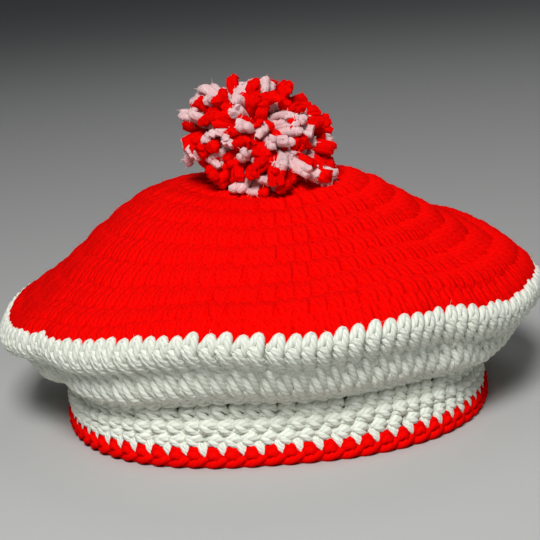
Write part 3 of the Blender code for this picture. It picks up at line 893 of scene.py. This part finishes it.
def make_pompom_tree():
    """The tree that makes the ball of yarn ends, red and white."""
    tree, given, result = new_tree("pompom_ends", "GeometryNodeTree", (
        ("Geometry", GEOMETRY, None), ("Guide", OBJECT, None), ("Ends", INTEGER, 400),
        ("Lowest", FLOAT, -0.8), ("Half Size", VECTOR, None), ("Centre Height", FLOAT, 0.1),
        ("End Radius", FLOAT, 0.0022), ("Root", FLOAT, 0.4), ("Unevenness", FLOAT, 0.1),
        ("Bend", FLOAT, 0.1), ("Droop", FLOAT, 0.0), ("Lean", FLOAT, 0.0), ("Tilt", FLOAT, 0.0),
        ("Red", MATERIAL, None), ("White", MATERIAL, None), ("Seed", INTEGER, 0),
    ), (("Geometry", GEOMETRY),))
    tree.is_modifier = True
    count = times(tree, given["Ends"], PLIES_PER_END)
    points = output_of(tree, "GeometryNodePoints", {"Count": count})
    ply_number = output_of(tree, "GeometryNodeInputIndex")
    points = store(tree, points, "ply_number", ply_number, "INT")
    line = output_of(tree, "GeometryNodeCurvePrimitiveLine",
                     {"Start": (0.0, 0.0, 0.0), "End": (1.0, 0.0, 0.0)})
    line = output_of(tree, "GeometryNodeResampleCurve", {"Curve": line, "Count": 10})
    paths = output_of(tree, "GeometryNodeInstanceOnPoints", {"Points": points, "Instance": line})
    paths = realize(tree, paths)

    # The direction of each end: even steps down, each turned by the golden angle
    ply_number = named(tree, "ply_number", "INT")
    number = math_node(tree, "FLOOR", math_node(tree, "DIVIDE", ply_number, PLIES_PER_END))
    random = random_value(tree, *ALL_WAYS, given["Seed"], number)
    length_random = random_value(tree, 0.0, 1.0, plus(tree, given["Seed"], 5.0), number)
    step = math_node(tree, "DIVIDE", plus(tree, number, 0.5), given["Ends"])
    drop = minus(tree, 1.0, given["Lowest"])
    sine = minus(tree, 1.0, times(tree, step, drop))
    flat = math_node(tree, "SQRT", minus(tree, 1.0, times(tree, sine, sine)))
    angle = times(tree, number, GOLDEN_ANGLE)
    direction = combine(tree, times(tree, flat, math_node(tree, "COSINE", angle)),
                        times(tree, flat, math_node(tree, "SINE", angle)), sine)
    direction = vector_math(tree, "ADD", direction, scaled(tree, random, given["Unevenness"]))
    direction = vector_math(tree, "NORMALIZE", direction)

    # The path: from the root outwards, bending a little more towards its tip
    share = separate(tree, output_of(tree, "GeometryNodeInputPosition"))[0]
    shortening = times(tree, times(tree, length_random, length_random), CUT_VARIATION)
    reach = minus(tree, 1.0, shortening)
    span = minus(tree, reach, given["Root"])
    radial = times_plus(tree, share, span, given["Root"])
    bend = times(tree, times(tree, share, share), given["Bend"])
    swirl = random_value(tree, ALL_WAYS[0], (1.0, 1.0, MOST_LIFT), SWIRL_SEED, number)
    tuft = add_node(tree, "ShaderNodeTexNoise",
                    {"Vector": direction, "Scale": TUFT_SCALE, "Detail": 0.0}).outputs[1]
    tuft = scaled(tree, vector_math(tree, "SUBTRACT", tuft, (0.5, 0.5, 0.5)), TUFT_STRENGTH)
    swirl = vector_math(tree, "ADD", swirl, tuft)
    swirl = scaled(tree, swirl, bend)
    below = math_node(tree, "MAXIMUM", minus(tree, 0.0, separate(tree, direction)[2]), 0.0)
    splay = times_plus(tree, below, given["Droop"], 1.0)
    spot = scaled(tree, direction, radial)
    spot = vector_math(tree, "ADD", spot, swirl)
    far = add_node(tree, "ShaderNodeVectorMath", {0: spot}, operation="LENGTH").outputs["Value"]
    inside = math_node(tree, "DIVIDE", reach, math_node(tree, "MAXIMUM", far, reach))
    spot = scaled(tree, spot, inside)
    spot = vector_math(tree, "MULTIPLY", spot, combine(tree, 1.0, splay, 1.0))
    spot = vector_math(tree, "ADD", spot, combine(tree, times(tree, below, given["Lean"]), 0.0, 0.0))
    spot = vector_math(tree, "MULTIPLY", spot, given["Half Size"])
    x, y, z = separate(tree, spot)
    z = minus(tree, z, times(tree, x, given["Tilt"]))
    z = plus(tree, z, given["Centre Height"])

    # The plies of an end lie side by side and part towards the tip
    aside = random_value(tree, *ALL_WAYS, ASIDE_SEED, ply_number)
    aside = vector_math(tree, "NORMALIZE", vector_math(tree, "CROSS_PRODUCT", aside, direction))
    parted = times(tree, times_plus(tree, share, PLY_PARTING, PLY_PARTING), given["End Radius"])
    aside = scaled(tree, aside, parted)
    x, y, z = separate(tree, vector_math(tree, "ADD", combine(tree, x, y, z), aside))

    # Lift the path over the crown
    guide_mesh = add_node(tree, "GeometryNodeObjectInfo", {"Object": given["Guide"]}).outputs["Geometry"]
    turn = math_node(tree, "DIVIDE", math_node(tree, "ARCTAN2", y, x), 2 * math.pi)
    turn = math_node(tree, "WRAP", turn, 1.0, 0.0)
    distance = math_node(tree, "SQRT", plus(tree, times(tree, x, x), times(tree, y, y)))
    outline_share = math_node(tree, "DIVIDE", distance, outline[-1] * MM * CROWN_REACH)
    crown_point = sample_guide(tree, guide_mesh, "", combine(tree, turn, outline_share, 0.0))
    crown_top_height = plus(tree, separate(tree, crown_point)[2], given["End Radius"])
    z = math_node(tree, "MAXIMUM", z, crown_top_height)
    paths = output_of(tree, "GeometryNodeSetPosition",
                      {"Geometry": paths, "Position": combine(tree, x, y, z)})

    # Thickness: slim at the root, full near the tip, blunt at the end
    factor = add_node(tree, "GeometryNodeSplineParameter").outputs["Factor"]
    ramp = add_node(tree, "ShaderNodeFloatCurve", {"Value": factor})
    line_of_thickness = ramp.mapping.curves[0]
    line_of_thickness.points[0].location = (0.0, 0.6)
    line_of_thickness.points[1].location = (1.0, 0.8)
    line_of_thickness.points.new(0.5, 0.9)
    line_of_thickness.points.new(0.92, 1.0)
    ramp.mapping.update()
    thick = times(tree, ramp.outputs[0], times_plus(tree, length_random, END_SLIMMING, FULL_END))
    paths = output_of(tree, "GeometryNodeSetCurveRadius", {"Curve": paths, "Radius": thick})
    clump = output_of(tree, "ShaderNodeTexNoise",
                      {"Vector": direction, "Scale": CLUMP_SCALE, "Detail": 0.0})
    chance = random_value(tree, -COLOUR_CHANCE, COLOUR_CHANCE, plus(tree, given["Seed"], 9.0), number)
    is_white = math_node(tree, "GREATER_THAN", plus(tree, clump, chance), WHITE_ABOVE)
    paths = store(tree, paths, "white_end", is_white, "BOOLEAN", "CURVE")
    yarn = sweep_yarn(tree, paths, given["End Radius"], 5, times(tree, ply_number, PLY_SHIFT))

    # Fluff the surface and colour the ends
    bumps = output_of(tree, "ShaderNodeTexNoise", {"Scale": FLUFF_SCALE, "Detail": 3.0, "Roughness": 0.7})
    bumps = times(tree, minus(tree, bumps, FLUFF_MEAN), FLUFF_HEIGHT)
    normal = output_of(tree, "GeometryNodeInputNormal")
    offset = scaled(tree, normal, bumps)
    yarn = output_of(tree, "GeometryNodeSetPosition", {"Geometry": yarn, "Offset": offset})
    realized = realize(tree, yarn)
    white_ends = named(tree, "white_end", "BOOLEAN")
    coloured = set_material(tree, realized, given["Red"])
    coloured = set_material(tree, coloured, given["White"], white_ends)
    tree.links.new(coloured, result["Geometry"])
    return tree


pompom_tree = make_pompom_tree()
print("pompom tree:", len(pompom_tree.nodes), "nodes")


# %% Make the pompom
TUFT_DRIFT = 160.0
TUFT_CONTRAST, TUFT_START = 3.2, -1.0
CUT_BUMP, CUT_RELIEF, CUT_SHEEN = 0.7, 1.3, 0.7


def cut_end_material(name, colour, tuft_shade_colour):
    """Cut yarn without a twist: tufts of fluff, with a painted shade between them."""
    material, tree, shader = new_material(name, 1.0, 0.02)
    around = add_node(tree, "ShaderNodeAttribute", attribute_name="around").outputs["Vector"]
    along = add_node(tree, "ShaderNodeAttribute", attribute_name="along").outputs["Fac"]
    drift = combine(tree, 0.0, 0.0, times(tree, along, TUFT_DRIFT))
    place = vector_math(tree, "ADD", around, drift)
    fluff = output_of(tree, "ShaderNodeTexNoise",
                      {"Vector": place, "Scale": 3.0, "Detail": 5.0, "Roughness": 0.7})
    shade = times_plus(tree, fluff, TUFT_CONTRAST, TUFT_START)
    shade = output_of(tree, "ShaderNodeClamp", {"Value": shade})
    # painted shade: the deeper colour darkens the hollows between the tufts
    shade_yarn(tree, shader, mix_colour(tree, shade, tuft_shade_colour, colour), fluff, CUT_BUMP, CUT_RELIEF)
    add_sheen(shader, colour, CUT_SHEEN)
    return material


# The second colour of each is the painted shade between the tufts.
red_ends = cut_end_material("red_yarn_ends", (0.94, 0.002, 0.001), (0.74, 0.0, 0.0))
white_ends = cut_end_material("white_yarn_ends", (0.84, 0.63, 0.63), (0.74, 0.38, 0.39))
pompom = new_piece("pompom_yarn")
ball = pompom.modifiers.new("ends", "NODES")
ball.node_group = pompom_tree
set_inputs(ball, {"Guide": guide, "Ends": POMPOM_ENDS, "Lowest": LOWEST_END,
                  "Half Size": [value * MM for value in POMPOM_HALF],
                  "Centre Height": POMPOM_CENTRE * MM, "End Radius": 1.85 * MM, "Root": 0.32,
                  "Unevenness": 0.16, "Bend": 0.30, "Droop": 1.1, "Lean": 0.18, "Tilt": 0.13,
                  "Red": red_ends, "White": white_ends, "Seed": 3})
settle(pompom, "pompom")

# %% [markdown]
# # Stray fibres
# Spun yarn is never clean: loose fibres stand out of it everywhere and soften every edge, most of all on
# the cut ends of the pompom. One tree adds them to any piece. It scatters points over the yarn that
# faces away from the hat's middle, always in the same places for the same seed, and puts a short bent
# hair on each, turned its own way.

# %% The stray fibre tree
HAT_MIDDLE = (0.0, 0.0, 45.0 * MM)
LEAST_FACING = 0.3
MOST_TILT = (1.2, 1.2, 3.1)
SHORTEST, HAIR_TAPER = 0.5, -0.7


def make_fibre_tree():
    """The tree that adds stray fibres to a piece."""
    tree, given, result = new_tree("stray_fibres", "GeometryNodeTree", (
        ("Geometry", GEOMETRY, None), ("Fibres Per Square Metre", FLOAT, 30000.0), ("Length", FLOAT, 0.002),
        ("Fibre Radius", FLOAT, 0.00005), ("Middle", VECTOR, None), ("Material", MATERIAL, None),
        ("White End Material", MATERIAL, None), ("Seed", INTEGER, 0),
    ), (("Geometry", GEOMETRY),))
    tree.is_modifier = True
    position = output_of(tree, "GeometryNodeInputPosition")
    normal = output_of(tree, "GeometryNodeInputNormal")
    outward = vector_math(tree, "NORMALIZE", vector_math(tree, "SUBTRACT", position, given["Middle"]))
    facing = add_node(tree, "ShaderNodeVectorMath", {0: normal, 1: outward},
                      operation="DOT_PRODUCT").outputs["Value"]
    outside = math_node(tree, "GREATER_THAN", facing, LEAST_FACING)
    spots = add_node(tree, "GeometryNodeDistributePointsOnFaces",
                     {"Mesh": given["Geometry"], "Selection": outside,
                      "Density": given["Fibres Per Square Metre"], "Seed": given["Seed"]},
                     distribute_method="RANDOM")
    tilt = random_value(tree, tuple(-angle for angle in MOST_TILT), MOST_TILT, given["Seed"])
    turned = output_of(tree, "FunctionNodeRotateRotation",
                       {"Rotation": spots.outputs["Rotation"], "Rotate By": tilt}, rotation_space="LOCAL")
    size = random_value(tree, SHORTEST, 1.0, given["Seed"])
    hair = output_of(tree, "GeometryNodeCurveQuadraticBezier",
                     {"Resolution": 3, "Start": (0.0, 0.0, -0.1), "Middle": (0.1, 0.0, 0.6),
                      "End": (0.6, 0.0, 0.8)})
    hairs = output_of(tree, "GeometryNodeInstanceOnPoints",
                      {"Points": spots.outputs["Points"], "Instance": hair, "Rotation": turned,
                       "Scale": times(tree, size, given["Length"])})
    hairs = realize(tree, hairs)
    factor = add_node(tree, "GeometryNodeSplineParameter").outputs["Factor"]
    taper = times_plus(tree, factor, HAIR_TAPER, 1.0)
    hairs = output_of(tree, "GeometryNodeSetCurveRadius", {"Curve": hairs, "Radius": taper})
    hairs = sweep_yarn(tree, hairs, given["Fibre Radius"], 3, 0.0)
    hairs = realize(tree, hairs)
    hairs = set_material(tree, hairs, given["Material"])
    on_white = named(tree, "white_end", "BOOLEAN")
    hairs = set_material(tree, hairs, given["White End Material"], on_white)
    tree.links.new(hairs, result["Geometry"])
    return tree


fibre_tree = make_fibre_tree()
print("stray fibre tree:", len(fibre_tree.nodes), "nodes")


# %% Add the fibres
def add_fibres(source, name, node, materials, density, length, middle, seed, radius=0.065):
    """A piece of stray fibres that stand out of another piece."""
    fibres = bpy.data.objects.new(name, source.data.copy())
    bpy.context.scene.collection.objects.link(fibres)
    modifier = fibres.modifiers.new("fibres", "NODES")
    modifier.node_group = fibre_tree
    set_inputs(modifier, {"Fibres Per Square Metre": density, "Length": length * MM,
                          "Fibre Radius": radius * MM, "Middle": middle, "Material": materials[0],
                          "White End Material": materials[-1], "Seed": seed})
    settle(fibres, node)


add_fibres(crown_top, "crown_top_fibres", "crown", [red_yarn], 34000.0, 2.8, HAT_MIDDLE, 11)
add_fibres(crown_side, "crown_side_fibres", "crown", [red_yarn], 34000.0, 2.8, HAT_MIDDLE, 12)
add_fibres(brim, "brim_fibres", "brim", [white_yarn], 38000.0, 2.2, HAT_MIDDLE, 13)
add_fibres(pompom, "pompom_fibres", "pompom", [red_ends, white_ends], 56000.0, 2.8,
           (0.0, 0.0, POMPOM_CENTRE * MM), 14, 0.16)

# %% [markdown]
# # Floor, light and camera
# The hat stands on a plain pale floor under soft studio light: one large light from the front and above,
# a weaker one from the right, and a pale sky that fills the shadows. The camera stands a little above the
# hat and far off, with a long lens, and is rolled slightly.

# %% Floor and light
for helper in helpers:
    bpy.data.objects.remove(helper)
scene = bpy.context.scene


def make_floor():
    """A large pale floor."""
    mesh = bpy.data.meshes.new("floor")
    mesh.from_pydata([(-9, -9, 0), (9, -9, 0), (9, 9, 0), (-9, 9, 0)], [], [(0, 1, 2, 3)])
    material, _, shader = new_material("floor_paint", 0.9, 0.5)
    shader.inputs["Base Color"].default_value = (0.47, 0.47, 0.46, 1.0)
    mesh.materials.append(material)
    floor = bpy.data.objects.new("floor", mesh)
    scene.collection.objects.link(floor)


def area_light(name, place, size, power, colour=(1.0, 1.0, 1.0)):
    """A square light that faces the hat."""
    data = bpy.data.lights.new(name, "AREA")
    data.size = size
    data.energy = power
    data.color = colour
    light = bpy.data.objects.new(name, data)
    light.location = place
    light.rotation_euler = (Vector((0.0, 0.0, 0.06)) - Vector(place)).to_track_quat("-Z", "Y").to_euler()
    scene.collection.objects.link(light)


make_floor()
area_light("key_light", (-0.12, -1.06, 1.08), 0.45, 23.9)
area_light("fill_light", (1.1, -0.8, 0.4), 0.9, 0.15)
area_light("back_light", (0.2, 0.9, 1.4), 0.8, 3.0)
world = bpy.data.worlds.new("studio")
world.use_nodes = True
world.node_tree.nodes["Background"].inputs["Color"].default_value = (0.82, 0.92, 1.0, 1.0)
world.node_tree.nodes["Background"].inputs["Strength"].default_value = 0.048
scene.world = world
scene.view_settings.view_transform = "Standard"
print("floor and lights ready")

# %% Camera
CAMERA_ELEVATION = math.radians(13.0)
CAMERA_DISTANCE = 0.7117
CAMERA_AIM = Vector((0.0008, 0.0, 0.0557))
CAMERA_ROLL = math.radians(-4.39)
camera_data = bpy.data.cameras.new("camera")
camera_data.sensor_width = 36.0
camera_data.lens = 107.44
camera_data.clip_start = 0.05
camera_data.clip_end = 50.0
camera = bpy.data.objects.new("camera", camera_data)
away = Vector((0.0, -math.cos(CAMERA_ELEVATION), math.sin(CAMERA_ELEVATION)))
camera.location = CAMERA_AIM + away * CAMERA_DISTANCE
camera.rotation_euler = (away.to_track_quat("Z", "Y").to_matrix()
                         @ Matrix.Rotation(CAMERA_ROLL, 3, "Z")).to_euler()
scene.collection.objects.link(camera)
scene.camera = camera
print("camera at", [round(value, 4) for value in camera.location])
